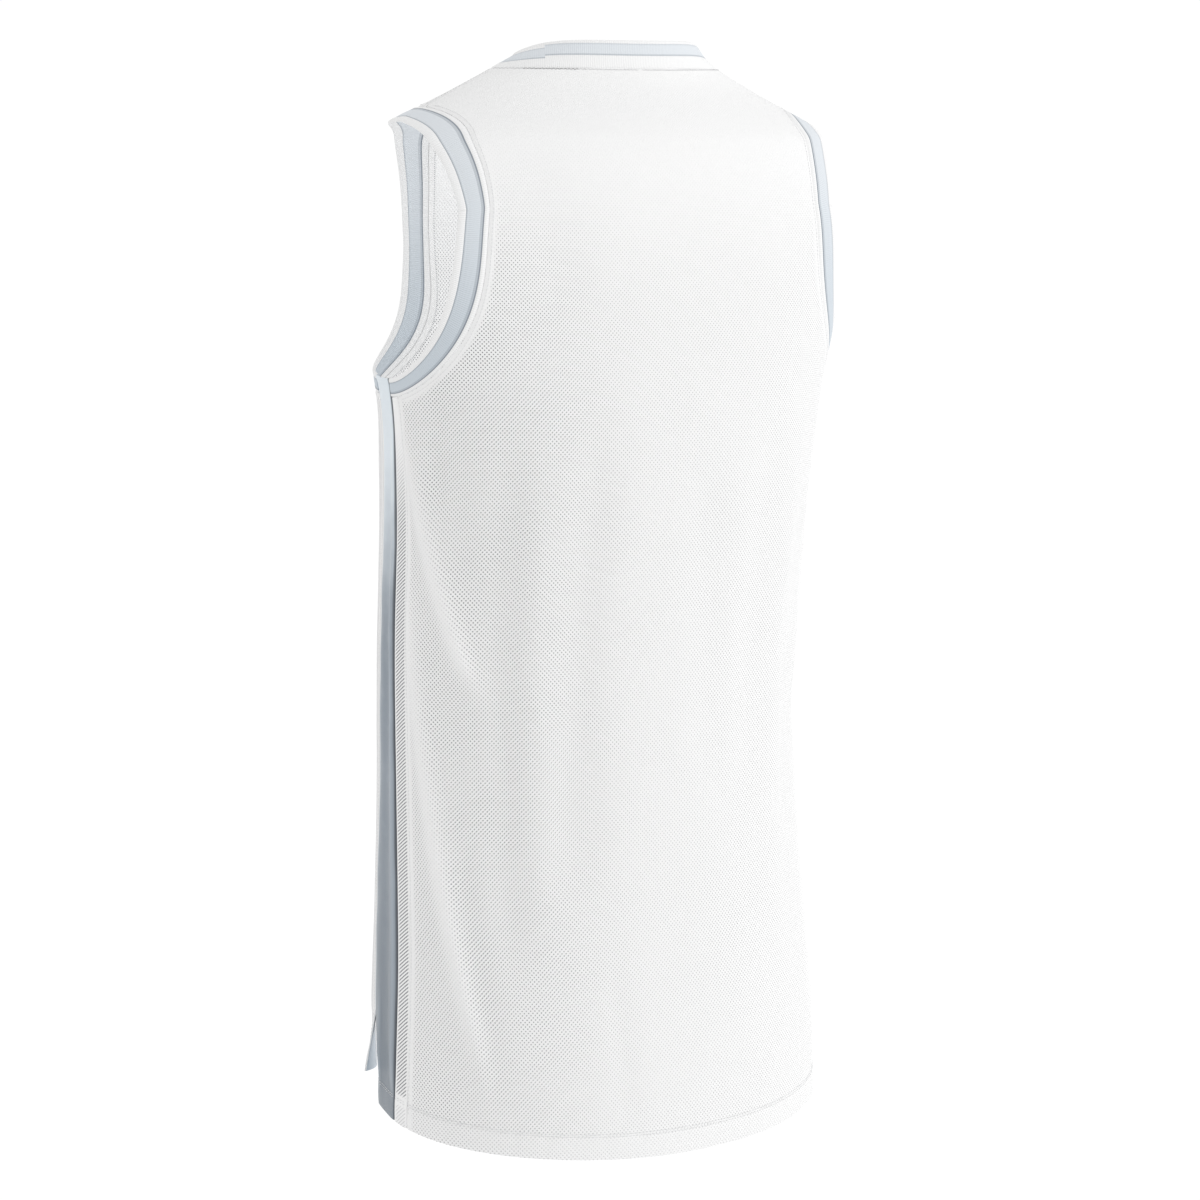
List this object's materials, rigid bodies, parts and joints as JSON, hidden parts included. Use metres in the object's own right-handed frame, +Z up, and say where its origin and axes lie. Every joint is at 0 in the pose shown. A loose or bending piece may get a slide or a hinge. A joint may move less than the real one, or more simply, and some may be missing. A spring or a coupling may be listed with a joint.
{
  "type": "basketball jersey",
  "caption": "Sleeveless basketball jersey, filled out and hollow, with striped ribs at neck and armholes, side bands, side slits and a dropped rounded tail.",
  "frame": {"origin": "midway between the two points where the shoulder seams meet the neck seam, where the wearer's shoulders carry the jersey", "axes": "+Z up the wearer, +X to the wearer's left, +Y to the wearer's back, so the wearer faces -Y"},
  "size_m": [0.3872, 0.2401, 0.8353],
  "materials": {
    "white_mesh": "matt polyester knit with fine staggered eyelets",
    "coarse_mesh": "matt open polyester mesh in diagonal rows",
    "grey_satin": "smooth satin tricot",
    "striped_rib": "fine rib knit, white with a grey stripe round the middle"
  },
  "bodies": {
    "root": {"back_panel": "white_mesh", "front_panel": "white_mesh", "side_band_left": "grey_satin", "side_band_right": "grey_satin", "mesh_strip_left": "coarse_mesh", "mesh_strip_right": "coarse_mesh", "armhole_rib_left": "striped_rib", "armhole_rib_right": "striped_rib", "neck_rib": "striped_rib", "slit_facing_left": "grey_satin", "slit_facing_right": "grey_satin"}
  },
  "joints": []
}
